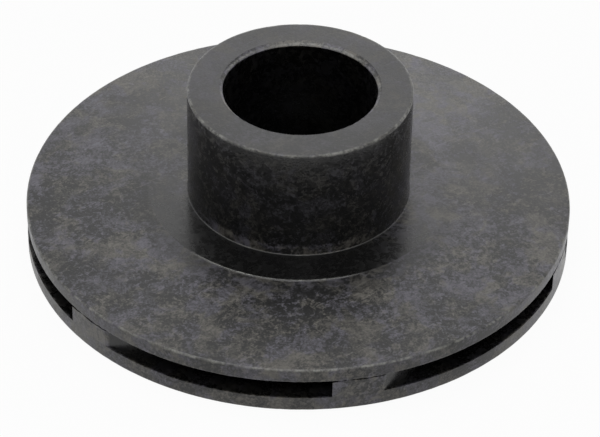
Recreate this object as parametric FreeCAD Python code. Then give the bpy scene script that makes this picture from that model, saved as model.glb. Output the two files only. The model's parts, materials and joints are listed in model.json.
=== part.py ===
import FreeCAD
import Part
import math
import os

# Closed centrifugal pump impeller, moulded in glass-filled plastic as two halves.
# The rear half is a flat disc with six backward-curved vanes and a hub. The front half is
# a shallow cone with a tall eye collar, and it is welded to the vanes' top edges.
# A threaded brass insert is moulded into the hub and screws onto the motor shaft.
# Lengths are in millimetres and angles in degrees. The axis is Z, and the back face lies on Z = 0.

# Both discs
DISC_RADIUS = 65.0
REAR_DISC_THICKNESS = 3.7
REAR_EDGE_BEVEL = 0.4
OUTLET_HEIGHT = 4.6

# Front half, from its rim to its eye
FRONT_RIM_HEIGHT = 3.5
FRONT_RIM_BEVEL = 0.5
SEAM_BEVEL = 0.25
FRONT_FACE_RISE = 1.8
LAND_RADIUS = 35.6
LAND_STEP = 0.25
COLLAR_RADIUS = 26.5
COLLAR_HEIGHT = 28.75
COLLAR_EDGE_BEVEL = 0.4
COLLAR_FOOT_BEVEL = 0.3
EYE_RADIUS = 18.2
EYE_LIP_BEVEL = 0.7
PASSAGE_SLOPE = 3.2
THROAT_ROUND = 5.5

# Vanes, seen from the eye: each runs inward from its sharp tip at the rim, anticlockwise
VANE_COUNT = 6
FIRST_TIP_ANGLE = -82.5
VANE_WRAP = 100.0
VANE_RIM_LENGTH = 11.8
VANE_INNER_EXIT = 14.0
VANE_OUTER_EXIT = 21.0
VANE_INLET_RADIUS = 24.5
VANE_INLET_THICKNESS = 2.2
VANE_ROOT = 0.5

# Threaded insert: 7/16-20 UNF, shown here at its minor diameter
THREAD_MINOR_RADIUS = 4.94
THREAD_MAJOR_RADIUS = 5.56
INSERT_RADIUS = 7.2
INSERT_LENGTH = 13.5
INSERT_EDGE_BEVEL = 0.4
GRIP_GROOVE_WIDTH = 5.0
GRIP_GROOVE_DEPTH = 0.7

# Hub round the insert, and the pocket round it where the shaft seal sits
HUB_WALL = 2.3
NOSE_WALL = 1.8
NOSE_BEVEL = 1.2
NOSE_STRAIGHT = 3.0
SEAL_POCKET_WIDTH = 3.6
SEAL_POCKET_DEPTH = 4.2

# Heights and radii that follow from the sizes above
SEAM_HEIGHT = REAR_DISC_THICKNESS + OUTLET_HEIGHT
FRONT_RIM_TOP = SEAM_HEIGHT + FRONT_RIM_HEIGHT
LAND_HEIGHT = FRONT_RIM_TOP + FRONT_FACE_RISE + LAND_STEP
COLLAR_TOP = LAND_HEIGHT + COLLAR_HEIGHT
HUB_RADIUS = INSERT_RADIUS + HUB_WALL
HUB_TOP = INSERT_LENGTH + NOSE_WALL
HUB_FLARE = HUB_TOP - NOSE_BEVEL - NOSE_STRAIGHT - REAR_DISC_THICKNESS
POCKET_RADIUS = HUB_RADIUS + SEAL_POCKET_WIDTH

ORIGIN = FreeCAD.Vector(0, 0, 0)
AXIS = FreeCAD.Vector(0, 0, 1)


def underside_height(radius):
    """Height of the front half's sloping underside at a radius."""
    return SEAM_HEIGHT + (DISC_RADIUS - radius) * math.tan(math.radians(PASSAGE_SLOPE))


def polar(radius, angle, height=0.0):
    """Point at a radius and an angle from +X."""
    turn = math.radians(angle)
    return FreeCAD.Vector(radius * math.cos(turn), radius * math.sin(turn), height)


class Corner:
    """Corner of a turned section at a radius and a height, rounded by an arc or cut off by a bevel."""

    def __init__(self, radius, height, rounding=0.0, bevel=0.0):
        self.place = FreeCAD.Vector(radius, 0, height)
        self.rounding = rounding
        self.bevel = bevel

    def points(self, before, after):
        """Points that the section passes here, between the corners before and after this one."""
        back = (before.place - self.place).normalize()
        on = (after.place - self.place).normalize()
        if self.rounding:
            half_angle = back.getAngle(on) / 2
            reach = self.rounding / math.tan(half_angle)
            depth = self.rounding / math.sin(half_angle) - self.rounding
            middle = self.place + (back + on).normalize() * depth
            return [self.place + back * reach, middle, self.place + on * reach]
        if self.bevel:
            return [self.place + back * self.bevel, self.place + on * self.bevel]
        return [self.place]


def revolved(corners):
    """Solid turned about Z from the corners of its section, in order round it."""
    paths = [corner.points(corners[index - 1], corners[(index + 1) % len(corners)])
             for index, corner in enumerate(corners)]
    edges = []
    for path, following in zip(paths, paths[1:] + paths[:1]):
        if len(path) == 3:
            edges.append(Part.Arc(*path).toShape())
        elif len(path) == 2:
            edges.append(Part.LineSegment(*path).toShape())
        edges.append(Part.LineSegment(path[-1], following[0]).toShape())
    return Part.Face(Part.Wire(edges)).revolve(ORIGIN, AXIS, 360)


def front_shroud():
    """Front half: cone, flat land, eye collar and the throat that turns the flow outward."""
    return revolved([
        Corner(EYE_RADIUS, underside_height(EYE_RADIUS), rounding=THROAT_ROUND),
        Corner(DISC_RADIUS, SEAM_HEIGHT, bevel=SEAM_BEVEL),
        Corner(DISC_RADIUS, FRONT_RIM_TOP, bevel=FRONT_RIM_BEVEL),
        Corner(LAND_RADIUS, LAND_HEIGHT - LAND_STEP),
        Corner(LAND_RADIUS, LAND_HEIGHT),
        Corner(COLLAR_RADIUS, LAND_HEIGHT, bevel=COLLAR_FOOT_BEVEL),
        Corner(COLLAR_RADIUS, COLLAR_TOP, bevel=COLLAR_EDGE_BEVEL),
        Corner(EYE_RADIUS, COLLAR_TOP, bevel=EYE_LIP_BEVEL),
    ])


def side_arc(rim_angle, exit_angle, inner_end):
    """Centre and radius of the arc that leaves the rim at exit_angle and passes inner_end."""
    outward = polar(1, rim_angle)
    along_rim = AXIS.cross(outward)
    lean = math.radians(exit_angle)
    rim_point = outward * DISC_RADIUS
    to_centre = along_rim * -math.sin(lean) - outward * math.cos(lean)
    chord = inner_end - rim_point
    radius = chord.dot(chord) / (2 * chord.dot(to_centre))
    return rim_point + to_centre * radius, radius


def arc_between(centre, radius, start, end):
    """Shorter arc round a centre from one point to another."""
    middle = centre + ((start - centre) + (end - centre)).normalize() * radius
    return Part.Arc(start, middle, end).toShape()


def vane_blank():
    """First vane as an upright prism, from inside the rear disc to past the front half."""
    tip = polar(DISC_RADIUS, FIRST_TIP_ANGLE)
    rim_turn = math.degrees(VANE_RIM_LENGTH / DISC_RADIUS)
    heel = polar(DISC_RADIUS, FIRST_TIP_ANGLE + rim_turn)
    inner_nose = polar(VANE_INLET_RADIUS, FIRST_TIP_ANGLE + VANE_WRAP)
    inner_centre, inner_radius = side_arc(FIRST_TIP_ANGLE, VANE_INNER_EXIT, inner_nose)
    across = (inner_nose - inner_centre).normalize()
    outer_nose = inner_nose + across * VANE_INLET_THICKNESS
    outer_centre, outer_radius = side_arc(FIRST_TIP_ANGLE + rim_turn, VANE_OUTER_EXIT, outer_nose)
    nose_middle = (inner_nose + outer_nose) / 2 + AXIS.cross(across) * (VANE_INLET_THICKNESS / 2)
    outline = Part.Wire([
        arc_between(inner_centre, inner_radius, tip, inner_nose),
        Part.Arc(inner_nose, nose_middle, outer_nose).toShape(),
        arc_between(outer_centre, outer_radius, outer_nose, heel),
        arc_between(ORIGIN, DISC_RADIUS, heel, tip),
    ])
    blank = Part.Face(outline).extrude(AXIS * (COLLAR_TOP - REAR_DISC_THICKNESS + VANE_ROOT))
    blank.translate(AXIS * (REAR_DISC_THICKNESS - VANE_ROOT))
    return blank


def vanes():
    """The ring of vanes, with their top edges on the front half's underside."""
    passage = revolved([
        Corner(0, 0),
        Corner(DISC_RADIUS, 0),
        Corner(DISC_RADIUS, SEAM_HEIGHT),
        Corner(EYE_RADIUS, underside_height(EYE_RADIUS), rounding=THROAT_ROUND),
        Corner(EYE_RADIUS, COLLAR_TOP),
        Corner(0, COLLAR_TOP),
    ])
    first = vane_blank().common(passage)
    ring = []
    for index in range(VANE_COUNT):
        vane = first.copy()
        vane.rotate(ORIGIN, AXIS, index * 360 / VANE_COUNT)
        ring.append(vane)
    return ring


def insert_envelope():
    """Outside of the brass insert, with the waist that locks it in the hub."""
    waist_radius = INSERT_RADIUS - GRIP_GROOVE_DEPTH
    waist_low = (INSERT_LENGTH - GRIP_GROOVE_WIDTH) / 2
    waist_high = (INSERT_LENGTH + GRIP_GROOVE_WIDTH) / 2
    return revolved([
        Corner(0, 0),
        Corner(INSERT_RADIUS, 0),
        Corner(INSERT_RADIUS, waist_low),
        Corner(waist_radius, waist_low),
        Corner(waist_radius, waist_high),
        Corner(INSERT_RADIUS, waist_high),
        Corner(INSERT_RADIUS, INSERT_LENGTH, bevel=INSERT_EDGE_BEVEL),
        Corner(0, INSERT_LENGTH),
    ])


def threaded_insert():
    """Brass insert, tapped right through and countersunk at its mouth. The hub's nose closes it."""
    hole = revolved([
        Corner(0, 0),
        Corner(THREAD_MAJOR_RADIUS, 0),
        Corner(THREAD_MINOR_RADIUS, THREAD_MAJOR_RADIUS - THREAD_MINOR_RADIUS),
        Corner(THREAD_MINOR_RADIUS, INSERT_LENGTH),
        Corner(0, INSERT_LENGTH),
    ])
    return insert_envelope().cut(hole)


def rear_shroud():
    """Rear half: disc, hub with its seal pocket, and the vanes."""
    disc = revolved([
        Corner(0, 0),
        Corner(HUB_RADIUS, 0),
        Corner(HUB_RADIUS, SEAL_POCKET_DEPTH),
        Corner(POCKET_RADIUS, SEAL_POCKET_DEPTH),
        Corner(POCKET_RADIUS, 0),
        Corner(DISC_RADIUS, 0, bevel=REAR_EDGE_BEVEL),
        Corner(DISC_RADIUS, REAR_DISC_THICKNESS),
        Corner(HUB_RADIUS, REAR_DISC_THICKNESS, rounding=HUB_FLARE),
        Corner(HUB_RADIUS, HUB_TOP, bevel=NOSE_BEVEL),
        Corner(0, HUB_TOP),
    ])
    return disc.fuse(vanes()).removeSplitter().cut(insert_envelope())


def main():
    """Write one STEP file for each piece."""
    os.makedirs("parts", exist_ok=True)
    pieces = {
        "front_shroud": front_shroud(),
        "rear_shroud": rear_shroud(),
        "threaded_insert": threaded_insert(),
    }
    for name, shape in pieces.items():
        solids = shape.Solids
        print(name, "solids", len(solids), "valid", shape.isValid(), "volume", round(shape.Volume, 1))
        solids[0].exportStep(os.path.join("parts", name + ".step"))


main()
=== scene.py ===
import json
import logging
import math
from dataclasses import dataclass
from enum import Enum
from functools import reduce
from typing import Any, Mapping, Sequence

import bmesh
import bpy
from mathutils import Matrix, Vector, noise


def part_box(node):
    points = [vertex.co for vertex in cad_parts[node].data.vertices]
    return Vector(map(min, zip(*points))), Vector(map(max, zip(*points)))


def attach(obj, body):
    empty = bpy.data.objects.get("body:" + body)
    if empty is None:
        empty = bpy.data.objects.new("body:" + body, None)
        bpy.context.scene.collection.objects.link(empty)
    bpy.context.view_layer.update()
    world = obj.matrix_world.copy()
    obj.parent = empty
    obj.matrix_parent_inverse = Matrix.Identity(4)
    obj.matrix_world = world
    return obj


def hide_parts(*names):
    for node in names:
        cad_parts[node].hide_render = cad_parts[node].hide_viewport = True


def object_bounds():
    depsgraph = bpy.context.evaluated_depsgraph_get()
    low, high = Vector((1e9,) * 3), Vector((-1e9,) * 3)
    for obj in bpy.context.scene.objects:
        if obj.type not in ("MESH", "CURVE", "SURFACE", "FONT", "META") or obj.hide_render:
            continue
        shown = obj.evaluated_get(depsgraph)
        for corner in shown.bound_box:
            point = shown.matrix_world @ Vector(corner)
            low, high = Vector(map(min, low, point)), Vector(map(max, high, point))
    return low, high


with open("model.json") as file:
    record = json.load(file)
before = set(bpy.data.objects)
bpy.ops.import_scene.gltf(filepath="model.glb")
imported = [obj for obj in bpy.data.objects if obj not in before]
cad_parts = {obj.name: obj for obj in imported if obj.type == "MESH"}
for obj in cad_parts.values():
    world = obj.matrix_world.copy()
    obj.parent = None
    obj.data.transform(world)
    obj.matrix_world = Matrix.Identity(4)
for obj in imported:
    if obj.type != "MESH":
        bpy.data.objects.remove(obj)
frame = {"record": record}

# A closed pump impeller: two glass-filled plastic mouldings welded together, and a brass insert in the hub.
# Lengths are in metres, worked out from millimetres, and angles in degrees. The axis is Z, out of the eye.

LOG = logging.getLogger("impeller")
MM = 0.001
CAD_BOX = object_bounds()
MOUNTS = {mount["name"]: mount for mount in frame["record"]["mounts"]}

# Points nearer than this are one, and both discs' rims stay this far inside the solids' box.
MERGE_DISTANCE = 0.0001 * MM
# Points nearer than this are one where two arcs of a vane or two turns of the thread meet.
JOIN_DISTANCE = 0.01 * MM
# Edges that bend more than this are shaded sharp.
SHARP_ANGLE = math.radians(18.0)
# How far a section's support points stand from its corners, and the shortest side that gets them.
GUARD = 0.25 * MM
GUARDED_LENGTH = 5.0 * GUARD
# Facets of a large round, of a worn edge's round and of a flat bevel.
ROUND_SEGMENTS = 14
EDGE_SEGMENTS = 7
FLAT_SEGMENTS = 1
# A section is spun through one sector of this many, and the sector is then repeated.
SECTORS = 20
# Part of a 45 degree push that goes along the radius, and part that goes along the axis.
DIAGONAL = 0.7
# How far a zone of skin reaches to both sides of the wall that it is on.
SKIN = 0.1 * MM
# The way that the land's front faces, and the spread of an edge or zone that goes all round.
FRONT_WAY = Vector((-0.2, -1.0, 0.0)).normalized()
ALL_ROUND = 180.0
# Settings of the nodes that map a value softly and that mix two colours.
SMOOTH = {"interpolation_type": "SMOOTHSTEP"}
COLOURS = {"data_type": "RGBA"}


class Slot(Enum):
    """Material slots of the record."""

    FRONT = "front_plastic"
    REAR = "rear_plastic"
    BRASS = "insert_brass"


def mount_radius(name: str) -> float:
    """Radius of a round mount of the record, in metres."""
    return MOUNTS[name]["dims"]["r_mm"] * MM


def polar(radius: float, angle: float) -> Vector:
    """Point at a radius and an angle from +X, at height 0."""
    turn = math.radians(angle)
    return Vector((radius * math.cos(turn), radius * math.sin(turn), 0.0))


@dataclass(frozen=True)
class Corner:
    """Corner of a turned section.

    Attributes:
        radius: Distance from the axis.
        height: Height above the back face.
        reach: How far a rounding reaches along both sides, or 0 for a sharp corner.
        segments: Facets of the rounding.
    """

    radius: float
    height: float
    reach: float = 0.0
    segments: int = 6


@dataclass(frozen=True)
class EdgeWear:
    """Slight unevenness of a round edge, always into the material.

    Attributes:
        radius: The edge's distance from the axis.
        height: The edge's height.
        inward: Direction into the material, along the radius and the height.
        reach: How far from the edge a vertex still moves.
        depth: The deepest nick.
        spacing: Distance between nicks.
        spared: Stretches of angle with no nicks, each as a start and a span.
    """

    radius: float
    height: float
    inward: tuple[float, float]
    reach: float = 0.7 * MM
    depth: float = 0.12 * MM
    spacing: float = 2.2 * MM
    spared: tuple[tuple[float, float], ...] = ()
    # The higher the cover, the more is nicked. The finer unevenness: its spacing as a share, and its mean.
    cover: float = 0.15
    fine_spacing: float = 0.3
    fine_mean: float = 0.5

    def apply(self, shape: bmesh.types.BMesh) -> None:
        """Move the vertices near the edge.

        Args:
            shape: The turned shape.
        """
        for vert in shape.verts:
            away = math.hypot(vert.co.xy.length - self.radius, vert.co.z - self.height)
            angle = math.degrees(math.atan2(vert.co.y, vert.co.x)) % 360.0
            if away > self.reach or any((angle - start) % 360.0 < span for start, span in self.spared):
                continue
            outward = vert.co.xy.normalized()
            nick = max(0.0, noise.noise(vert.co / self.spacing) + self.cover)
            fine = max(0.0, noise.noise(vert.co / (self.fine_spacing * self.spacing)) + self.fine_mean)
            amount = self.depth * nick * fine * (1.0 - away / self.reach)
            vert.co.x += outward.x * self.inward[0] * amount
            vert.co.y += outward.y * self.inward[0] * amount
            vert.co.z += self.inward[1] * amount


def guard_edge(edge: bmesh.types.BMEdge) -> bmesh.types.BMEdge:
    """Split an edge a short way from each end, so that shading stays flat between its corners.

    Args:
        edge: The edge.

    Returns:
        The long edge between the two splits.
    """
    for end in list(edge.verts):
        made, _ = bmesh.utils.edge_split(edge, end, GUARD / edge.calc_length())
        edge = max((edge, made), key=lambda part: part.calc_length())
    return edge


def add_shape(shape: bmesh.types.BMesh, addition: bmesh.types.BMesh) -> None:
    """Add one shape to another.

    Args:
        shape: The shape that grows.
        addition: The shape that is added to it, which is freed.
    """
    mesh = bpy.data.meshes.new("addition")
    addition.to_mesh(mesh)
    addition.free()
    shape.from_mesh(mesh)
    bpy.data.meshes.remove(mesh)


def repeat_round(shape: bmesh.types.BMesh, count: int) -> None:
    """Repeat a shape evenly round the axis, until there are as many as the count."""
    bmesh.ops.spin(shape, geom=shape.verts[:] + shape.edges[:] + shape.faces[:], cent=(0, 0, 0),
                   axis=(0, 0, 1), dvec=(0, 0, 0), angle=math.tau * (count - 1) / count,
                   steps=count - 1, use_merge=False, use_duplicate=True)


def turned(corners: Sequence[Corner], steps: int, spacing: float) -> bmesh.types.BMesh:
    """Solid turned about Z from the corners of its section.

    Args:
        corners: The corners, in order round the section.
        steps: Facets round the axis, a multiple of SECTORS.
        spacing: Longest facet along the section.

    Returns:
        The closed shape.
    """
    shape = bmesh.new()
    points = [shape.verts.new((corner.radius, 0.0, corner.height)) for corner in corners]
    shape.faces.new(points)
    for corner, point in zip(corners, points):
        if corner.reach:
            bmesh.ops.bevel(shape, geom=[point], offset=corner.reach, offset_type="OFFSET",
                            segments=corner.segments, profile=0.5, affect="VERTICES", material=-1)
    bmesh.ops.delete(shape, geom=shape.faces[:], context="FACES_ONLY")
    on_axis = [edge for edge in shape.edges if all(vert.co.x < MERGE_DISTANCE for vert in edge.verts)]
    bmesh.ops.delete(shape, geom=on_axis, context="EDGES")
    for edge in [edge for edge in shape.edges if edge.calc_length() > GUARDED_LENGTH]:
        middle = guard_edge(edge)
        cuts = int(middle.calc_length() / spacing)
        if cuts:
            bmesh.ops.subdivide_edges(shape, edges=[middle], cuts=cuts)
    bmesh.ops.spin(shape, geom=shape.verts[:] + shape.edges[:], cent=(0, 0, 0), axis=(0, 0, 1),
                   dvec=(0, 0, 0), angle=math.tau / SECTORS, steps=steps // SECTORS, use_merge=False,
                   use_duplicate=False)
    repeat_round(shape, SECTORS)
    bmesh.ops.remove_doubles(shape, verts=shape.verts[:], dist=MERGE_DISTANCE)
    bmesh.ops.recalc_face_normals(shape, faces=shape.faces[:])
    return shape


def finished(shape: bmesh.types.BMesh, name: str, material: bpy.types.Material,
             node: str) -> None:
    """Make a shape a piece of the impeller that rides on the one body.

    Args:
        shape: The shape, which is freed.
        name: The piece's name.
        material: The finish.
        node: The solid that the piece stands for, or nothing.
    """
    for face in shape.faces:
        face.smooth = True
    mesh = bpy.data.meshes.new(name)
    shape.to_mesh(mesh)
    shape.free()
    mesh.set_sharp_from_angle(angle=SHARP_ANGLE)
    mesh.materials.append(material)
    piece = bpy.data.objects.new(name, mesh)
    bpy.context.scene.collection.objects.link(piece)
    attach(piece, "root")
    if node:
        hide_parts(node)
    triangles = sum(len(face.vertices) - 2 for face in mesh.polygons)
    LOG.info("%s: %d triangles", name, triangles)


def linear(code: str) -> tuple[float, float, float, float]:
    """Linear colour of an sRGB hex code, by the sRGB standard's curve.

    Args:
        code: Six hex digits after a hash.

    Returns:
        Red, green, blue and full alpha.
    """
    parts = [int(code[start:start + 2], 16) / 255.0 for start in (1, 3, 5)]
    parts = [part / 12.92 if part <= 0.04045 else ((part + 0.055) / 1.055) ** 2.4 for part in parts]
    return (parts[0], parts[1], parts[2], 1.0)


def add_node(tree: bpy.types.NodeTree, kind: str, settings: Mapping[str, Any],
             inputs: Mapping[Any, Any], output: Any = 0) -> Any:
    """Add a node with its settings and links.

    Args:
        tree: The node tree.
        kind: The node's type.
        settings: Its properties.
        inputs: A socket to link or a plain value for each input.
        output: Which output to give back.

    Returns:
        That output's socket, or nothing for a node without outputs.
    """
    node = tree.nodes.new(kind)
    for name, value in settings.items():
        setattr(node, name, value)
    for key, value in inputs.items():
        if isinstance(value, bpy.types.NodeSocket):
            tree.links.new(value, node.inputs[key])
        else:
            node.inputs[key].default_value = value
    return node.outputs[output] if len(node.outputs) else None


def join_all(tree: bpy.types.NodeTree, way: str, terms: Sequence[Any]) -> Any:
    """Join sockets or numbers into one by a row of maths nodes that all work one way."""
    settings = {"operation": way}
    return reduce(lambda one, other: add_node(tree, "ShaderNodeMath", settings, {0: one, 1: other}), terms)


@dataclass(frozen=True)
class Pattern:
    """Cloudy pattern in a skin.

    Attributes:
        size: Size of its patches.
        detail: Octaves of finer detail.
        low: Noise value that becomes 0.
        high: Noise value that becomes 1.
        offset: Shift that keeps it apart from other patterns.
        share: What it adds to the skin's tone.
    """

    size: float
    detail: float
    low: float
    high: float
    offset: float = 0.0
    share: float = 0.0


@dataclass(frozen=True)
class Streaks:
    """Sparse short marks that all lie one way in a skin.

    Attributes:
        length: Length of a mark.
        width: Its width.
        turn: The way that they lie, as an angle from +X in radians.
        share: What they add to the skin's tone.
    """

    length: float = 5.0 * MM
    width: float = 0.5 * MM
    turn: float = 0.7
    share: float = 0.35


@dataclass(frozen=True)
class WornEdgeAndHighlight:
    """Round edge that handling has rubbed pale, and that is also painted pale as a highlight where light
    catches it.

    Attributes:
        radius: Its distance from the axis.
        height: Its height.
        reach: How far the rubbing and the painted highlight reach from it.
        spread: Angle from the front at which it has faded, or ALL_ROUND.
        core: Share of the reach that is fully pale.
    """

    radius: float
    height: float
    reach: float
    spread: float = ALL_ROUND
    core: float = 0.25


@dataclass(frozen=True)
class Zone:
    """Part of a moulding, as a stretch of radii and heights, where its skin differs; most zones paint shade
    or light there.

    Attributes:
        radii: Smallest and largest radius.
        heights: Lowest and highest height.
        tone: Factor of the usual greyness there.
        roughness: Roughness added there.
        soft: Width over which the zone fades.
        spread: Angle from the front at which it has faded, or ALL_ROUND.
        relief: Factor of the usual relief there.
    """

    radii: tuple[float, float]
    heights: tuple[float, float]
    tone: float
    roughness: float = 0.0
    soft: float = 0.3 * MM
    spread: float = ALL_ROUND
    relief: float = 1.0


class Surface:
    """Node tree of one finish, which knows where on the impeller its surface lies."""

    # Share of a front mask's spread in which it is full.
    core = 0.5

    def __init__(self, name: str) -> None:
        """Start an empty tree.

        Args:
            name: The material's name.
        """
        self.material = bpy.data.materials.new(name)
        self.material.use_nodes = True
        self.tree = self.material.node_tree
        self.tree.nodes.clear()
        self.point = self.add("ShaderNodeTexCoord", {}, {}, "Object")
        self.height = self.add("ShaderNodeSeparateXYZ", {}, {0: self.point}, "Z")
        flat = self.add("ShaderNodeVectorMath", {"operation": "MULTIPLY"}, {0: self.point, 1: (1, 1, 0)})
        self.radius = self.add("ShaderNodeVectorMath", {"operation": "LENGTH"}, {0: flat}, "Value")
        self.outward = self.add("ShaderNodeVectorMath", {"operation": "NORMALIZE"}, {0: flat})

    def add(self, kind: str, settings: Mapping[str, Any], inputs: Mapping[Any, Any], output: Any = 0) -> Any:
        """Add a node to this tree, as add_node does."""
        return add_node(self.tree, kind, settings, inputs, output)

    def product(self, *factors: Any) -> Any:
        """Product of sockets or numbers."""
        return join_all(self.tree, "MULTIPLY", factors)

    def total(self, *terms: Any) -> Any:
        """Sum of sockets or numbers."""
        return join_all(self.tree, "ADD", terms)

    def pattern(self, pattern: Pattern) -> Any:
        """Draw a cloudy pattern, from 0 to 1.

        Args:
            pattern: The pattern.

        Returns:
            Its socket.
        """
        shift = (pattern.offset,) * 3
        place = self.add("ShaderNodeVectorMath", {"operation": "ADD"}, {0: self.point, 1: shift})
        cloud = self.add("ShaderNodeTexNoise", {}, {
            "Vector": place, "Scale": 1.0 / pattern.size, "Detail": pattern.detail,
            "Roughness": 0.6, "Distortion": 0.4,
        })
        return self.add("ShaderNodeMapRange", SMOOTH,
                        {"Value": cloud, "From Min": pattern.low, "From Max": pattern.high})

    def streaks(self, streaks: Streaks) -> Any:
        """Draw streaks, from 0 to 1.

        Args:
            streaks: The streaks.

        Returns:
            Their socket.
        """
        place = self.add("ShaderNodeMapping", {"vector_type": "TEXTURE"}, {
            "Vector": self.point, "Rotation": (0.0, 0.0, streaks.turn),
            "Scale": (streaks.length, streaks.width, 2.0 * streaks.width),
        })
        marks = self.add("ShaderNodeTexNoise", {}, {
            "Vector": place, "Scale": 1.0, "Detail": 2.0, "Distortion": 0.6,
        })
        return self.add("ShaderNodeMapRange", SMOOTH, {"Value": marks, "From Min": 0.56, "From Max": 0.68})

    def in_front(self, spread: float) -> Any:
        """Mask of the front side: 1 there, fading to 0 round the axis. It keeps painted shade and highlights
        to the side that faces the camera.

        Args:
            spread: Angle from the front at which it is 0, or ALL_ROUND.

        Returns:
            The mask.
        """
        if spread == ALL_ROUND:
            return 1.0
        share = self.add("ShaderNodeVectorMath", {"operation": "DOT_PRODUCT"},
                         {0: self.outward, 1: FRONT_WAY}, "Value")
        return self.add("ShaderNodeMapRange", SMOOTH, {
            "Value": share, "From Min": math.cos(math.radians(spread)),
            "From Max": math.cos(math.radians(self.core * spread)),
        })

    def edge(self, edge: WornEdgeAndHighlight) -> Any:
        """Mask of a round edge: 1 on it, fading to 0.

        Args:
            edge: The edge.

        Returns:
            The mask.
        """
        here = self.add("ShaderNodeCombineXYZ", {}, {0: self.radius, 1: self.height})
        away = self.add("ShaderNodeVectorMath", {"operation": "DISTANCE"},
                        {0: here, 1: (edge.radius, edge.height, 0.0)}, "Value")
        near = self.add("ShaderNodeMapRange", SMOOTH,
                        {"Value": away, "From Min": edge.reach, "From Max": edge.core * edge.reach})
        return self.product(near, self.in_front(edge.spread))

    def zone(self, zone: Zone) -> Any:
        """Mask of a zone: 1 inside it, fading to 0 outside.

        Args:
            zone: The zone.

        Returns:
            The mask.
        """
        inside = []
        for value, (low, high) in ((self.radius, zone.radii), (self.height, zone.heights)):
            for bound, beyond in ((low, low - zone.soft), (high, high + zone.soft)):
                inside.append(self.add("ShaderNodeMapRange", SMOOTH,
                                       {"Value": value, "From Min": beyond, "From Max": bound}))
        return self.product(*inside, self.in_front(zone.spread))

    def finish(self, colour: Any, roughness: Any, height: Any, depth: float,
               settings: Mapping[str, Any]) -> bpy.types.Material:
        """Close the tree with one principled surface.

        Args:
            colour: Base colour.
            roughness: Roughness.
            height: Relief from 0 to 1.
            depth: Depth of the relief.
            settings: Plain values of other sockets.

        Returns:
            The material.
        """
        relief = self.add("ShaderNodeBump", {}, {"Height": height, "Strength": 1.0, "Distance": depth})
        inputs = {"Base Color": colour, "Roughness": roughness, "Normal": relief, **settings}
        surface = self.add("ShaderNodeBsdfPrincipled", {}, inputs)
        self.add("ShaderNodeOutputMaterial", {}, {"Surface": surface})
        return self.material
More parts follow.
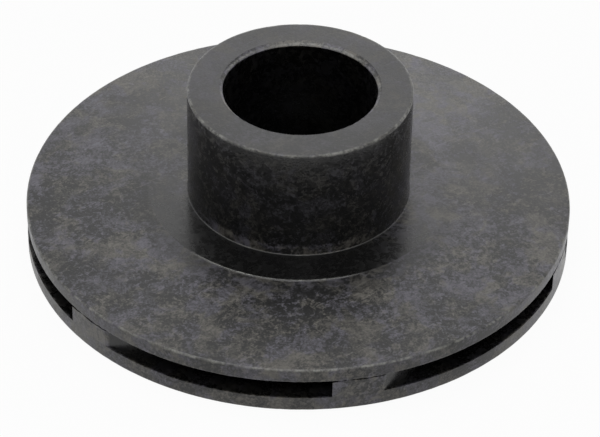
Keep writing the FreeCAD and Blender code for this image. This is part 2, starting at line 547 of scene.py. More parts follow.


# Glass-filled polypropylene, injection moulded. To the eye it is a satin black skin that clouds to grey where
# fibres lie close under it, in soft patches of many sizes, faintly warm and cool, with pale rubbed edges that
# are also painted pale as highlights. A flat part mirrors the white surroundings as a grey sheen, and an
# upright wall stays nearly black, with painted shade on the collar's wall. Fibres are 0.01 mm across, too
# fine to show, so grain, fineness and specks are drawn as coarse as they need to show.
@dataclass(frozen=True)
class GlassFilledPlastic:
    """Black polypropylene filled with short glass fibre, injection moulded in a plain steel mould.

    Attributes:
        name: The material's name.
        edges: The rubbed edges, which are also painted pale as highlights.
        zones: Where the skin differs, and where shade and light are painted.
    """

    name: str
    edges: tuple[WornEdgeAndHighlight, ...]
    zones: tuple[Zone, ...]
    # Colours of the resin-rich skin, the fibre-rich skin, its two tints, and rubbed edges with their painted
    # highlights.
    resin: str = "#080808"
    clouded: str = "#666465"
    warm: str = "#706a50"
    cool: str = "#62607c"
    worn_and_highlight: str = "#a2a29c"
    # What makes the tone: patches as wide as a thumb, clouds, small patches, dusty fineness that is the
    # relief too, pale dots, and short marks where fibres lie one way.
    haze: Pattern = Pattern(27.0 * MM, 4.0, 0.42, 0.58, 1.5, 0.22)
    cloud: Pattern = Pattern(9.0 * MM, 8.0, 0.49, 0.54, 0.0, 0.22)
    patch: Pattern = Pattern(3.2 * MM, 5.0, 0.48, 0.56, 0.3, 0.2)
    fine: Pattern = Pattern(0.5 * MM, 1.0, 0.38, 0.62, 2.1, 0.22)
    specks: Pattern = Pattern(0.66 * MM, 0.0, 0.66, 0.76, 0.8, 0.3)
    streaks: Streaks = Streaks()
    # Flow marks of the fibres, and what they add to the tone outside the clouds and in them.
    grain: Pattern = Pattern(1.1 * MM, 3.0, 0.46, 0.66, 0.6)
    grain_shares: tuple[float, float] = (0.45, 0.2)
    # Sum of all these that is bare resin, and sum that is fully clouded.
    tone_range: tuple[float, float] = (0.26, 1.02)
    # Where the clouds are cool and not warm, and the strength of both tints.
    tint: Pattern = Pattern(7.0 * MM, 3.0, 0.44, 0.56, 0.9)
    tint_share: float = 0.28
    # Unevenness of the rubbed edges and their painted highlights, where they are paler, the least share, and
    # what is added there.
    scuffs: Pattern = Pattern(1.1 * MM, 3.0, 0.3, 0.7, 1.2)
    breaks: Pattern = Pattern(5.0 * MM, 2.0, 0.4, 0.56, 1.7)
    break_shares: tuple[float, float] = (0.3, 0.5)
    # Roughness of bare resin, what the grain and the patches add to it, depth of the relief, and refraction.
    roughness: float = 0.3
    grain_roughness: float = 0.14
    patch_roughness: float = 0.08
    relief: float = 0.008 * MM
    ior: float = 1.49

    def build(self) -> bpy.types.Material:
        """Make the material.

        Returns:
            The material.
        """
        surface = Surface(self.name)
        skin = (self.haze, self.cloud, self.patch, self.fine, self.specks)
        drawn = [surface.pattern(pattern) for pattern in skin]
        _, cloud, patch, fine, _ = drawn
        grain = surface.pattern(self.grain)
        amounts = {"Value": cloud, "To Min": self.grain_shares[0], "To Max": self.grain_shares[1]}
        grain_share = surface.add("ShaderNodeMapRange", {}, amounts)
        tone = surface.total(
            *[surface.product(mask, pattern.share) for mask, pattern in zip(drawn, skin)],
            surface.product(grain, grain_share),
            surface.product(surface.streaks(self.streaks), patch, self.streaks.share),
        )
        bare, full = self.tone_range
        tone = surface.add("ShaderNodeMapRange", {}, {"Value": tone, "From Min": bare, "From Max": full})
        roughness, relief = self.roughness, fine
        for zone in self.zones:
            inside = surface.zone(zone)
            left = {"Value": inside, "To Min": 1.0, "To Max": zone.tone}
            tone = surface.product(tone, surface.add("ShaderNodeMapRange", {}, left))
            if zone.relief != 1.0:
                left = {"Value": inside, "To Min": 1.0, "To Max": zone.relief}
                relief = surface.product(relief, surface.add("ShaderNodeMapRange", {}, left))
            roughness = surface.total(surface.product(inside, zone.roughness), roughness)
        roughness = surface.total(roughness, surface.product(grain, self.grain_roughness),
                                  surface.product(patch, self.patch_roughness))
        shades = {0: surface.pattern(self.tint), 6: linear(self.warm), 7: linear(self.cool)}
        shade = surface.add("ShaderNodeMix", COLOURS, shades, 2)
        shades = {0: self.tint_share, 6: linear(self.clouded), 7: shade}
        shade = surface.add("ShaderNodeMix", COLOURS, shades, 2)
        colour = surface.add("ShaderNodeMix", COLOURS, {0: tone, 6: linear(self.resin), 7: shade}, 2)
        least, more = self.break_shares
        breaks = surface.total(surface.product(surface.pattern(self.breaks), more), least)
        # Rubbed edges with painted highlights on them, mixed towards the pale colour.
        wear = surface.total(*[surface.edge(edge) for edge in self.edges])
        wear = surface.product(wear, surface.pattern(self.scuffs), breaks)
        colour = surface.add("ShaderNodeMix", COLOURS, {0: wear, 6: colour, 7: linear(self.worn_and_highlight)}, 2)
        return surface.finish(colour, roughness, relief, self.relief, {"IOR": self.ior})


# Free-cutting brass, turned and tapped. To the eye it is a bright yellow metal with fine tool rings that draw
# its highlights out, and dull brown tarnish in patches. Real rings are 0.05 mm apart, too fine to show, so
# these are drawn as coarse as they need to show.
@dataclass(frozen=True)
class TurnedBrass:
    """Free-cutting brass, turned and tapped."""

    name: str = "turned brass"
    metal: str = "#d6b064"
    tarnish: str = "#8a6a35"
    # Where it is tarnished, how strongly, and the roughness of bare metal and what tarnish adds.
    dull: Pattern = Pattern(3.0 * MM, 4.0, 0.4, 0.7)
    dull_share: float = 0.5
    roughness: float = 0.25
    dull_roughness: float = 0.2
    # Half the distance between tool rings, and their depth.
    ring_width: float = 0.15 * MM
    ring_depth: float = 0.006 * MM

    def build(self) -> bpy.types.Material:
        """Make the material.

        Returns:
            The material.
        """
        surface = Surface(self.name)
        dull = surface.pattern(self.dull)
        shades = {0: surface.product(dull, self.dull_share), 6: linear(self.metal), 7: linear(self.tarnish)}
        colour = surface.add("ShaderNodeMix", COLOURS, shades, 2)
        roughness = surface.total(self.roughness, surface.product(dull, self.dull_roughness))
        rings = surface.product(surface.radius, 1.0 / self.ring_width)
        rings = surface.add("ShaderNodeMath", {"operation": "PINGPONG"}, {0: rings, 1: 1.0})
        return surface.finish(colour, roughness, rings, self.ring_depth, {"Metallic": 1.0})


@dataclass(frozen=True)
class Passage:
    """Space between the two discs.

    Attributes:
        rim_radius: Radius of both discs.
        floor: Height of the rear disc's inner face.
        seam: Height of the weld seam at the rim.
        slope: Slope of the front half's underside.
    """

    rim_radius: float
    floor: float = 3.7 * MM
    seam: float = 8.3 * MM
    slope: float = 3.2

    def roof(self, radius: float) -> float:
        """Height of the front half's underside at a radius."""
        return self.seam + (self.rim_radius - radius) * math.tan(math.radians(self.slope))


@dataclass(frozen=True)
class FrontShroud:
    """Front half: a shallow cone with a flat land and a tall eye collar, one moulding.

    Attributes:
        passage: The space behind it.
        top: Height of the collar's face.
        collar_radius: Outside radius of the collar.
        eye_radius: Radius of its bore.
    """

    passage: Passage
    top: float
    collar_radius: float
    eye_radius: float
    rim_height: float = 3.5 * MM
    face_rise: float = 1.8 * MM
    land_radius: float = 35.6 * MM
    land_step: float = 0.25 * MM
    # Width of the step up to the land, and how far inside the land's edge it still counts.
    step_run: float = 0.35 * MM
    step_margin: float = 0.3 * MM
    # How far each round or bevel reaches from its corner.
    throat_reach: float = 5.2 * MM
    seam_edge: float = 0.36 * MM
    rim_edge: float = 0.5 * MM
    step_edge: float = 0.14 * MM
    collar_foot: float = 0.25 * MM
    collar_edge: float = 0.45 * MM
    lip_edge: float = 0.6 * MM
    # The lip's bevel: how far beyond it the lip moves too, how much wider it is at the back, the way to the
    # back along X and Y, how much wider it is all round, and how much of its depth is left.
    lip_margin: float = 0.3 * MM
    lip_shift: float = 0.75
    lip_way: tuple[float, float] = (0.15, 1.0)
    lip_run: float = 1.35
    lip_drop: float = 0.7
    # Angle from the front at which the land's step begins to fade, and the angle it takes.
    fade_from: float = 20.0
    fade_over: float = 25.0
    # The deepest nicks along the weld and in the lip.
    seam_nick: float = 0.1 * MM
    lip_nick: float = 0.16 * MM
    # Facets round the axis, and the longest facet along the section.
    steps: int = 400
    spacing: float = 2.6 * MM

    @property
    def rim_top(self) -> float:
        """Height of the rim's upper edge."""
        return self.passage.seam + self.rim_height

    @property
    def land_height(self) -> float:
        """Height of the flat land round the collar's foot."""
        return self.rim_top + self.face_rise + self.land_step

    def shape(self) -> bmesh.types.BMesh:
        """Turn the moulding and wear its edges.

        Returns:
            The closed shape.
        """
        rim = self.passage.rim_radius
        shape = turned([
            Corner(self.eye_radius, self.passage.roof(self.eye_radius), self.throat_reach, ROUND_SEGMENTS),
            Corner(rim, self.passage.seam, self.seam_edge),
            Corner(rim, self.rim_top, self.rim_edge, EDGE_SEGMENTS),
            Corner(self.land_radius + self.step_run, self.land_height - self.land_step),
            Corner(self.land_radius, self.land_height, self.step_edge),
            Corner(self.collar_radius, self.land_height, self.collar_foot),
            Corner(self.collar_radius, self.top, self.collar_edge, EDGE_SEGMENTS),
            Corner(self.eye_radius, self.top, self.lip_edge, FLAT_SEGMENTS),
        ], self.steps, self.spacing)
        self.shift_lip(shape)
        self.fade_step(shape)
        for wear in (
            EdgeWear(rim, self.rim_top, (-DIAGONAL, -DIAGONAL)),
            EdgeWear(rim, self.passage.seam, (-DIAGONAL, DIAGONAL), depth=self.seam_nick),
            EdgeWear(self.collar_radius, self.top, (-DIAGONAL, -DIAGONAL)),
            EdgeWear(self.eye_radius, self.top, (DIAGONAL, -DIAGONAL), depth=self.lip_nick),
        ):
            wear.apply(shape)
        return shape

    def shift_lip(self, shape: bmesh.types.BMesh) -> None:
        """Flatten the lip's bevel and make it wide at the back and narrow in front, as if cut off centre.

        Args:
            shape: The turned moulding.
        """
        for vert in shape.verts:
            out, down = vert.co.xy.length - self.eye_radius, vert.co.z - self.top
            if math.hypot(out, down) > self.lip_edge + self.lip_margin:
                continue
            outward = vert.co.xy.normalized()
            widened = 1.0 + self.lip_shift * outward.dot(Vector(self.lip_way))
            move = out * (self.lip_run * widened - 1.0)
            drop = down * (self.lip_drop * widened - 1.0)
            vert.co += Vector((outward.x * move, outward.y * move, drop))

    def fade_step(self, shape: bmesh.types.BMesh) -> None:
        """Let the cone rise to the land at the sides and back, so that the land's step shows in front only.

        Args:
            shape: The turned moulding.
        """
        rim, foot = self.passage.rim_radius, self.land_radius + self.step_run
        for vert in shape.verts:
            radius = vert.co.xy.length
            if radius < self.land_radius - self.step_margin or vert.co.z < self.rim_top - MERGE_DISTANCE:
                continue
            away = math.degrees(vert.co.xy.angle(FRONT_WAY.xy))
            share = min(1.0, max(0.0, (away - self.fade_from) / self.fade_over))
            if radius < foot + MERGE_DISTANCE:
                vert.co.z += (self.land_height - vert.co.z) * share
            else:
                vert.co.z += self.land_step * share * (rim - radius) / (rim - foot)

    def finish(self) -> GlassFilledPlastic:
        """Say where this moulding is rubbed, where highlights and shade are painted on it, and where its skin
        differs.

        Returns:
            The finish.
        """
        eye, wall, land, rim = self.eye_radius, self.collar_radius, self.land_radius, self.passage.rim_radius
        top, level = self.top, self.land_height
        wall_skin = (wall - SKIN, wall + SKIN)
        # The edges are rubbed pale and are also painted pale as highlights where light catches them.
        edges = (
            WornEdgeAndHighlight(rim, self.rim_top, reach=0.6 * MM),
            WornEdgeAndHighlight(rim, self.passage.seam, reach=0.35 * MM),
            # The land's edge and the collar's foot carry painted highlights only, and only in front.
            WornEdgeAndHighlight(land, level, reach=0.24 * MM, spread=36.0),
            WornEdgeAndHighlight(wall, level, reach=0.2 * MM, spread=52.0),
            WornEdgeAndHighlight(wall, top, reach=0.8 * MM),
            WornEdgeAndHighlight(eye + 0.5 * MM, top - 0.48 * MM, reach=0.48 * MM),
        )
        # Painted shade: the eye's bore is painted nearly black, as the shade deep inside it.
        bore = Zone((0.0, eye + SKIN), (-MM, top - 1.0 * MM), tone=0.05, roughness=-0.1)
        # Painted shade: the land round the collar's foot is painted black in front, as the collar's shade and
        # its dark reflection.
        painted_shade_land = Zone((wall + SKIN, land), (level - SKIN, level + 0.05 * MM),
                         tone=0.0, roughness=-0.1, spread=85.0, relief=0.15)
        # Painted shade: the cone round the land is painted darker in front, where the collar's shade spreads.
        painted_shade_round_land = Zone((land - 3.0 * MM, land + 2.0 * MM), (self.rim_top, level),
                          tone=0.5, soft=6.0 * MM, spread=105.0)
        # Painted light: the collar wall's lowest band is painted much paler in front.
        painted_light_foot = Zone(wall_skin, (level + 0.3 * MM, level + 1.8 * MM),
                           tone=5.5, roughness=0.15, soft=1.5 * MM, spread=60.0)
        collar_face = Zone((eye + SKIN, wall), (top - 0.02 * MM, top + MM), tone=0.4, soft=0.02 * MM)
        # Painted highlight: the lip's bevel is painted paler, as light catching it.
        lip = Zone((eye, eye + 1.5 * MM), (top - 0.8 * MM, top - 0.05 * MM), tone=1.6, soft=0.04 * MM)
        # Painted shade: the collar's upright wall is painted darker all round, as the shade on an upright
        # wall under light from above.
        painted_shade_collar_wall = Zone(wall_skin, (level + 0.3 * MM, top - 0.4 * MM), tone=0.26, roughness=-0.15)
        zones = (bore, painted_shade_land, painted_shade_round_land, painted_light_foot, collar_face, lip, painted_shade_collar_wall)
        return GlassFilledPlastic("moulded glass-filled polypropylene, front", edges, zones)


@dataclass(frozen=True)
class RearShroud:
    """Rear half: flat disc, backward-curved vanes and hub with its seal pocket, one moulding.

    Attributes:
        passage: The space in front of it.
        hub_top: Height of the hub's nose.
        hub_radius: Radius of the hub, which is also the seal's seat.
        insert_radius: Radius of the brass insert.
        insert_length: Length of the brass insert.
    """

    passage: Passage
    hub_top: float
    hub_radius: float
    insert_radius: float
    insert_length: float
    # How far the rounds of the back edge, of the hub's back and of its nose reach.
    back_edge: float = 0.4 * MM
    hub_edge: float = 0.3 * MM
    nose_edge: float = 1.2 * MM
    # The seal's pocket, and the straight height under the hub's nose.
    pocket_width: float = 3.6 * MM
    pocket_depth: float = 4.2 * MM
    nose_straight: float = 3.0 * MM
    # Each vane runs inward from its sharp tip at the rim, anticlockwise, and its sides leave the rim
    # at the exit angles.
    vane_count: int = 6
    first_tip: float = -82.5
    vane_wrap: float = 100.0
    vane_rim_length: float = 11.8 * MM
    inner_exit: float = 14.0
    outer_exit: float = 21.0
    inlet_radius: float = 24.5 * MM
    inlet_thickness: float = 2.2 * MM
    # Facets along a vane's side, round its inner nose and along its end at the rim.
    side_steps: int = 90
    nose_steps: int = 12
    end_steps: int = 24
    # Where the weld is open, a vane's end stands this far below the cone, this far in from the rim,
    # and again after this distance. The higher the cover, the more of the weld is open.
    weld_gap: float = 0.6 * MM
    weld_reach: float = 1.5 * MM
    weld_spacing: float = 3.0 * MM
    weld_cover: float = 0.25
    # The deepest nick in the slots' lower edge, the distance between nicks, and the angle beside a
    # vane's end that has none.
    nick: float = 0.28 * MM
    nick_spacing: float = 1.2 * MM
    spared: float = 1.0
    # Facets round the axis, and the longest facet along the section.
    steps: int = 400
    spacing: float = 2.6 * MM

    @property
    def vane_span(self) -> float:
        """Angle that a vane's end covers along the rim."""
        return math.degrees(self.vane_rim_length / self.passage.rim_radius)

    def side_arc(self, rim_angle: float, exit_angle: float, inner_end: Vector) -> Vector:
        """Centre of the arc that leaves the rim at an angle to it and passes a vane's inner end.

        Args:
            rim_angle: Where the arc meets the rim.
            exit_angle: Angle between the arc and the rim there.
            inner_end: The vane's inner end.

        Returns:
            The arc's centre.
        """
        outward = polar(1.0, rim_angle)
        along_rim = Vector((-outward.y, outward.x, 0.0))
        lean = math.radians(exit_angle)
        rim_point = outward * self.passage.rim_radius
        to_centre = along_rim * -math.sin(lean) - outward * math.cos(lean)
        chord = inner_end - rim_point
        return rim_point + to_centre * (chord.dot(chord) / (2.0 * chord.dot(to_centre)))

    def vane_outline(self) -> bmesh.types.BMesh:
        """Draw the first vane's outline, by turning a point round the centre of each of its arcs.

        Returns:
            The outline, at height 0.
        """
        rim, heel_angle = self.passage.rim_radius, self.first_tip + self.vane_span
        tip, heel = polar(rim, self.first_tip), polar(rim, heel_angle)
        inner_nose = polar(self.inlet_radius, self.first_tip + self.vane_wrap)
        inner_centre = self.side_arc(self.first_tip, self.inner_exit, inner_nose)
        across = (inner_nose - inner_centre).normalized()
        outer_nose = inner_nose + across * self.inlet_thickness
        outer_centre = self.side_arc(heel_angle, self.outer_exit, outer_nose)
        shape = bmesh.new()
        pen = shape.verts.new(tip)
        for centre, end, steps in (
            (inner_centre, inner_nose, self.side_steps),
            ((inner_nose + outer_nose) / 2.0, outer_nose, self.nose_steps),
            (outer_centre, heel, self.side_steps),
            (Vector(), tip, self.end_steps),
        ):
            start = pen.co - centre
            turn = math.atan2(start.cross(end - centre).z, start.dot(end - centre))
            made = bmesh.ops.spin(shape, geom=[pen], cent=centre, axis=(0, 0, 1), dvec=(0, 0, 0),
                                  angle=turn, steps=steps, use_merge=False, use_duplicate=False)
            pen = next(item for item in made["geom_last"] if isinstance(item, bmesh.types.BMVert))
        bmesh.ops.remove_doubles(shape, verts=shape.verts[:], dist=JOIN_DISTANCE)
        return shape

    def vanes(self) -> bmesh.types.BMesh:
        """Raise the first vane from the disc to the cone and repeat it.

        Returns:
            All the vanes.
        """
        shape = self.vane_outline()
        for vert in shape.verts:
            vert.co.z = self.passage.floor
        base = bmesh.ops.contextual_create(shape, geom=shape.edges[:])["faces"]
        raised = bmesh.ops.extrude_face_region(shape, geom=base, use_keep_orig=True)
        for item in raised["geom"]:
            if isinstance(item, bmesh.types.BMVert):
                item.co.z = self.passage.roof(item.co.xy.length)
                if item.co.xy.length > self.passage.rim_radius - self.weld_reach:
                    open_weld = max(0.0, noise.noise(item.co / self.weld_spacing) + self.weld_cover)
                    item.co.z -= self.weld_gap * open_weld
        bmesh.ops.recalc_face_normals(shape, faces=shape.faces[:])
        repeat_round(shape, self.vane_count)
        return shape

    def shape(self) -> bmesh.types.BMesh:
        """Turn the disc and hub, wear their edges and add the vanes.

        Returns:
            The closed shape.
        """
        rim, floor = self.passage.rim_radius, self.passage.floor
        pocket = self.hub_radius + self.pocket_width
        flare = self.hub_top - self.nose_edge - self.nose_straight - floor
        shape = turned([
            Corner(0.0, self.insert_length),
            Corner(self.insert_radius, self.insert_length),
            Corner(self.insert_radius, 0.0),
            Corner(self.hub_radius, 0.0, self.hub_edge),
            Corner(self.hub_radius, self.pocket_depth, self.hub_edge),
            Corner(pocket, self.pocket_depth, self.hub_edge),
            Corner(pocket, 0.0, self.hub_edge),
            Corner(rim, 0.0, self.back_edge),
            Corner(rim, floor),
            Corner(self.hub_radius, floor, flare, ROUND_SEGMENTS),
            Corner(self.hub_radius, self.hub_top, self.nose_edge, EDGE_SEGMENTS),
            Corner(0.0, self.hub_top),
        ], self.steps, self.spacing)
        ends = tuple((self.first_tip + index * 360.0 / self.vane_count - self.spared,
                      self.vane_span + 2.0 * self.spared) for index in range(self.vane_count))
        EdgeWear(rim, 0.0, (-DIAGONAL, DIAGONAL)).apply(shape)
        EdgeWear(rim, floor, (-DIAGONAL, -DIAGONAL), depth=self.nick, spacing=self.nick_spacing,
                 spared=ends).apply(shape)
        add_shape(shape, self.vanes())
        return shape

    def finish(self) -> GlassFilledPlastic:
        """Say where this moulding is rubbed, where shade and light are painted on it, and where its skin
        differs.

        Returns:
            The finish.
        """
        rim, floor, above = self.passage.rim_radius, self.passage.floor, CAD_BOX[1].z + MM
        edges = (WornEdgeAndHighlight(rim, 0.0, reach=0.5 * MM),)
        # Painted shade: the passages between the discs are painted darker, as the shade inside them.
        inside = Zone((0.0, rim - 0.5 * MM), (floor - SKIN, above), tone=0.1, roughness=-0.05)
        # Painted light: the vanes' ends at the rim are painted paler, as the light on them.
        painted_light_vane_ends = Zone((rim - SKIN, rim), (floor + 0.2 * MM, above), tone=1.5)
        return GlassFilledPlastic("moulded glass-filled polypropylene, rear", edges, (inside, painted_light_vane_ends))


@dataclass(frozen=True)
class WeldFlash:
    """Broken bead of plastic squeezed out of the weld at each vane's end.

    Attributes:
        rear: The moulding that the beads are on.
    """

    rear: RearShroud
    # Radius of the thickest bead, and how far in from the rim its middle line lies.
    bead: float = 0.26 * MM
    sunk: float = 0.27 * MM
    sides: int = 8
    steps: int = 60
    # Its mean and least thickness as shares of the thickest, and its swellings' strength and spacing.
    mean: float = 0.4
    thinnest: float = 0.1
    swells: tuple[tuple[float, float], ...] = ((1.5, 1.3 * MM), (0.5, 0.4 * MM))

    def shape(self) -> bmesh.types.BMesh:
        """Spin one bead, swell and pinch it, and repeat it for each vane.

        Returns:
            The closed beads.
        """
        radius, height = self.rear.passage.rim_radius - self.sunk, self.rear.passage.seam
        shape = bmesh.new()
        ring = bmesh.ops.create_circle(shape, cap_ends=True, segments=self.sides, radius=self.bead)["verts"]
        stand = Matrix.Rotation(math.radians(90.0), 4, "X")
        place = Matrix.Translation((radius, 0.0, height))
        turn = Matrix.Rotation(math.radians(self.rear.first_tip), 4, "Z")
        bmesh.ops.transform(shape, matrix=turn @ place @ stand, verts=ring)
        bmesh.ops.spin(shape, geom=shape.faces[:], cent=(0, 0, 0), axis=(0, 0, 1), dvec=(0, 0, 0),
                       angle=math.radians(self.rear.vane_span), steps=self.steps, use_merge=False,
                       use_duplicate=False)
        for vert in shape.verts:
            spot = vert.co.xy.normalized() * radius
            middle = Vector((spot.x, spot.y, height))
            swell = self.mean
            for strength, spacing in self.swells:
                swell += strength * noise.noise(middle / spacing)
            vert.co = middle + (vert.co - middle) * min(1.0, max(self.thinnest, swell))
        bmesh.ops.recalc_face_normals(shape, faces=shape.faces[:])
        repeat_round(shape, self.rear.vane_count)
        return shape

    def finish(self) -> GlassFilledPlastic:
        """The rear moulding's finish, as the beads are squeezed out of it."""
        return self.rear.finish()


@dataclass(frozen=True)
class ThreadedInsert:
    """Brass insert in the hub, tapped for the motor shaft.

    Attributes:
        radius: Outside radius.
        length: Length along the axis.
        minor_radius: The thread's minor radius.
    """

    radius: float
    length: float
    minor_radius: float
    # The thread's depth, its pitch of 20 to the inch, half the angle between its flanks, and the
    # width of its flat crest as a share of the pitch.
    thread_depth: float = 0.62 * MM
    pitch: float = 25.4 / 20.0 * MM
    flank_angle: float = 30.0
    crest: float = 0.25
    waist_width: float = 5.0 * MM
    waist_depth: float = 0.7 * MM
    # How far the rounds at its mouth and at its inner end reach.
    mouth_edge: float = 0.15 * MM
    end_edge: float = 0.4 * MM
    steps: int = 100
    spacing: float = 4.0 * MM
    turn_steps: int = 48
    # Turns that are cut off at both ends, all but one of them at the mouth.
    spare_turns: int = 3

    @property
    def major_radius(self) -> float:
        """The thread's major radius."""
        return self.minor_radius + self.thread_depth

    def shape(self) -> bmesh.types.BMesh:
        """Turn the insert's body, cut its bore away and join the thread to it.

        Returns:
            The closed shape.
        """
        waist = self.radius - self.waist_depth
        low = (self.length - self.waist_width) / 2.0
        shape = turned([
            Corner(self.major_radius, 0.0),
            Corner(self.radius, 0.0, self.mouth_edge),
            Corner(self.radius, low),
            Corner(waist, low),
            Corner(waist, low + self.waist_width),
            Corner(self.radius, low + self.waist_width),
            Corner(self.radius, self.length, self.end_edge),
            Corner(self.minor_radius, self.length),
            Corner(self.minor_radius, self.thread_depth),
        ], self.steps, self.spacing)
        reach = self.major_radius + GUARD / 2.0
        bore = [face for face in shape.faces if max(vert.co.xy.length for vert in face.verts) < reach]
        bmesh.ops.delete(shape, geom=bore, context="FACES")
        ends = (self.thread_depth, self.length - self.thread_depth)
        add_shape(shape, self.thread(*ends))
        for rim, end in zip((0.0, self.length), ends):
            loops = [edge for edge in shape.edges if edge.is_boundary and all(
                min(abs(vert.co.z - rim), abs(vert.co.z - end)) < MERGE_DISTANCE for vert in edge.verts)]
            bmesh.ops.bridge_loops(shape, edges=loops)
        bmesh.ops.recalc_face_normals(shape, faces=shape.faces[:])
        return shape

    def thread(self, low: float, high: float) -> bmesh.types.BMesh:
        """Cut a helical thread off level at both ends.

        Args:
            low: Height of its lower end.
            high: Height of its upper end.

        Returns:
            The thread's surface, open at both ends.
        """
        flank = self.thread_depth * math.tan(math.radians(self.flank_angle))
        crest = self.crest * self.pitch
        start = low - (self.spare_turns - 1) * self.pitch
        shape = bmesh.new()
        points = [shape.verts.new((radius, 0.0, start + rise)) for radius, rise in (
            (self.minor_radius, 0.0),
            (self.minor_radius, crest),
            (self.major_radius, crest + flank),
            (self.major_radius, self.pitch - flank),
            (self.minor_radius, self.pitch),
        )]
        for one, other in zip(points, points[1:]):
            shape.edges.new((one, other))
        turns = math.ceil((high - low) / self.pitch) + self.spare_turns
        bmesh.ops.spin(shape, geom=shape.verts[:] + shape.edges[:], cent=(0, 0, 0), axis=(0, 0, 1),
                       dvec=(0, 0, self.pitch / self.turn_steps), angle=math.tau * turns,
                       steps=self.turn_steps * turns, use_merge=False, use_duplicate=False)
        bmesh.ops.remove_doubles(shape, verts=shape.verts[:], dist=JOIN_DISTANCE)
        for height, upward in ((low, -1.0), (high, 1.0)):
            bmesh.ops.bisect_plane(shape, geom=shape.verts[:] + shape.edges[:] + shape.faces[:], dist=1e-8,
                                   plane_co=(0, 0, height), plane_no=(0, 0, upward), clear_outer=True)
        return shape

    def finish(self) -> TurnedBrass:
        """Turned brass all over."""
        return TurnedBrass()


@dataclass(frozen=True)
class Softbox:
    """Square area light that faces the impeller.

    Attributes:
        name: The light's name.
        place: Its centre.
        size: Its side.
        radiance: Its brightness, where 1 is white.
    """

    name: str
    place: tuple[float, float, float]
    size: float
    radiance: float

    def build(self) -> None:
        """Hang the light."""
        data = bpy.data.lights.new(self.name, "AREA")
        data.shape = "SQUARE"
        data.size = self.size
        data.energy = self.radiance * math.pi * self.size * self.size
        light = bpy.data.objects.new(self.name, data)
        light.location = self.place
        light.rotation_euler = Vector(self.place).to_track_quat("Z", "Y").to_euler()
        light.visible_camera = False
        bpy.context.scene.collection.objects.link(light)


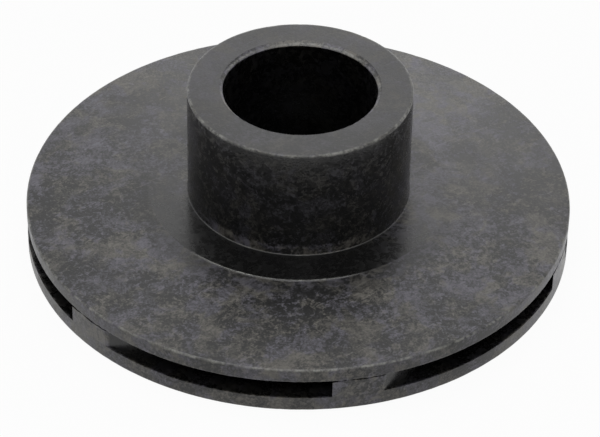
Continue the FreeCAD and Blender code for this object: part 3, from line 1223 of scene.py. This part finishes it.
@dataclass(frozen=True)
class Studio:
    """Pale floor, white surroundings, soft lights and the camera."""

    # The floor's width, how far it lies under the back face, its colour, and how much of it is plain
    # white to the camera, so that its shadow stays faint.
    floor_size: float = 6.0
    floor_drop: float = 0.1 * MM
    floor_colour: str = "#f4f4f4"
    floor_glow: float = 0.95
    # Brightness of the surroundings as a light, and as what is seen or mirrored.
    surroundings: tuple[float, float] = (0.12, 1.0)
    # Point that the camera looks at, its distance from there, the view's angle below the horizon, the
    # camera's anticlockwise turn, its sensor and focal length in millimetres, and its clipping distances.
    target: tuple[float, float, float] = (0.00049, 0.0, 0.00383)
    distance: float = 0.7341
    elevation: float = 38.27
    roll: float = 1.07
    sensor: float = 36.0
    lens: float = 182.5
    clip: tuple[float, float] = (0.01, 50.0)
    softboxes: tuple[Softbox, ...] = (
        Softbox("overhead softbox", (-0.08, 0.12, 0.95), 0.7, 2.4),
        Softbox("low back softbox", (0.08, 0.8, 0.36), 0.5, 1.15),
        Softbox("high front softbox", (0.03, -0.6, 0.82), 0.32, 5.5),
    )

    def camera(self) -> None:
        """Place the camera at the photograph's angle."""
        data = bpy.data.cameras.new("camera")
        data.lens = self.lens
        data.sensor_width = self.sensor
        data.clip_start, data.clip_end = self.clip
        lean = math.radians(self.elevation)
        back = Vector((0.0, -math.cos(lean), math.sin(lean)))
        turn = Matrix.Rotation(math.radians(90.0 - self.elevation), 4, "X")
        roll = Matrix.Rotation(math.radians(self.roll), 4, "Z")
        camera = bpy.data.objects.new("camera", data)
        camera.matrix_world = Matrix.Translation(Vector(self.target) + back * self.distance) @ turn @ roll
        bpy.context.scene.collection.objects.link(camera)
        bpy.context.scene.camera = camera

    def seen(self, tree: bpy.types.NodeTree, *rays: str) -> Any:
        """Mask that is 1 for these kinds of rays and 0 for others."""
        return join_all(tree, "MAXIMUM", [add_node(tree, "ShaderNodeLightPath", {}, {}, ray) for ray in rays])

    def world(self) -> None:
        """White surroundings for what is seen or mirrored, and dimmer light for the rest."""
        world = bpy.data.worlds.new("white studio")
        world.use_nodes = True
        tree = world.node_tree
        tree.nodes.clear()
        seen = self.seen(tree, "Is Camera Ray", "Is Glossy Ray", "Is Transmission Ray")
        dim, full = self.surroundings
        strength = add_node(tree, "ShaderNodeMapRange", {}, {"Value": seen, "To Min": dim, "To Max": full})
        shade = add_node(tree, "ShaderNodeBackground", {}, {"Color": linear("#ffffff"), "Strength": strength})
        add_node(tree, "ShaderNodeOutputWorld", {}, {"Surface": shade})
        bpy.context.scene.world = world

    def paper(self) -> bpy.types.Material:
        """Matt white paper, which is an even near white to the eye with a faint shadow, and clear from below.

        Returns:
            The material.
        """
        material = bpy.data.materials.new("white paper sweep")
        material.use_nodes = True
        tree = material.node_tree
        tree.nodes.clear()
        paper = add_node(tree, "ShaderNodeBsdfDiffuse", {}, {"Color": linear(self.floor_colour)})
        glow = add_node(tree, "ShaderNodeEmission", {}, {"Color": linear("#ffffff"), "Strength": 1.0})
        seen = self.seen(tree, "Is Camera Ray", "Is Glossy Ray")
        share = add_node(tree, "ShaderNodeMath", {"operation": "MULTIPLY"}, {0: seen, 1: self.floor_glow})
        mixed = add_node(tree, "ShaderNodeMixShader", {}, {0: share, 1: paper, 2: glow})
        back = add_node(tree, "ShaderNodeNewGeometry", {}, {}, "Backfacing")
        clear = add_node(tree, "ShaderNodeBsdfTransparent", {}, {})
        mixed = add_node(tree, "ShaderNodeMixShader", {}, {0: back, 1: mixed, 2: clear})
        add_node(tree, "ShaderNodeOutputMaterial", {}, {"Surface": mixed})
        return material

    def floor(self) -> None:
        """Lay the floor just under the impeller."""
        shape = bmesh.new()
        bmesh.ops.create_grid(shape, x_segments=1, y_segments=1, size=self.floor_size / 2.0)
        bmesh.ops.translate(shape, vec=(0, 0, -self.floor_drop), verts=shape.verts[:])
        mesh = bpy.data.meshes.new("floor")
        shape.to_mesh(mesh)
        shape.free()
        mesh.materials.append(self.paper())
        floor = bpy.data.objects.new("floor", mesh)
        bpy.context.scene.collection.objects.link(floor)

    def build(self) -> None:
        """Set up the studio."""
        self.camera()
        self.world()
        self.floor()
        for softbox in self.softboxes:
            softbox.build()
        bpy.context.scene.view_settings.view_transform = "Standard"


def main() -> None:
    """Build the impeller and the studio."""
    logging.basicConfig(level=logging.INFO, format="%(name)s: %(message)s")
    _, front_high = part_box("front_shroud")
    _, rear_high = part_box("rear_shroud")
    _, insert_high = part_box("threaded_insert")
    passage = Passage(CAD_BOX[1].y - MERGE_DISTANCE)
    front = FrontShroud(passage, front_high.z, mount_radius("eye_collar"), mount_radius("suction_eye"))
    rear = RearShroud(passage, rear_high.z, mount_radius("seal_seat"), insert_high.x, insert_high.z)
    insert = ThreadedInsert(insert_high.x, insert_high.z, mount_radius("shaft_thread"))
    for part, name, slot, node in (
        (front, "front_moulding", Slot.FRONT, "front_shroud"),
        (rear, "rear_moulding", Slot.REAR, "rear_shroud"),
        (WeldFlash(rear), "weld_flash", Slot.REAR, ""),
        (insert, "tapped_insert", Slot.BRASS, "threaded_insert"),
    ):
        finished(part.shape(), name, part.finish().build(), node)
    Studio().build()


if __name__ == "__main__":
    main()
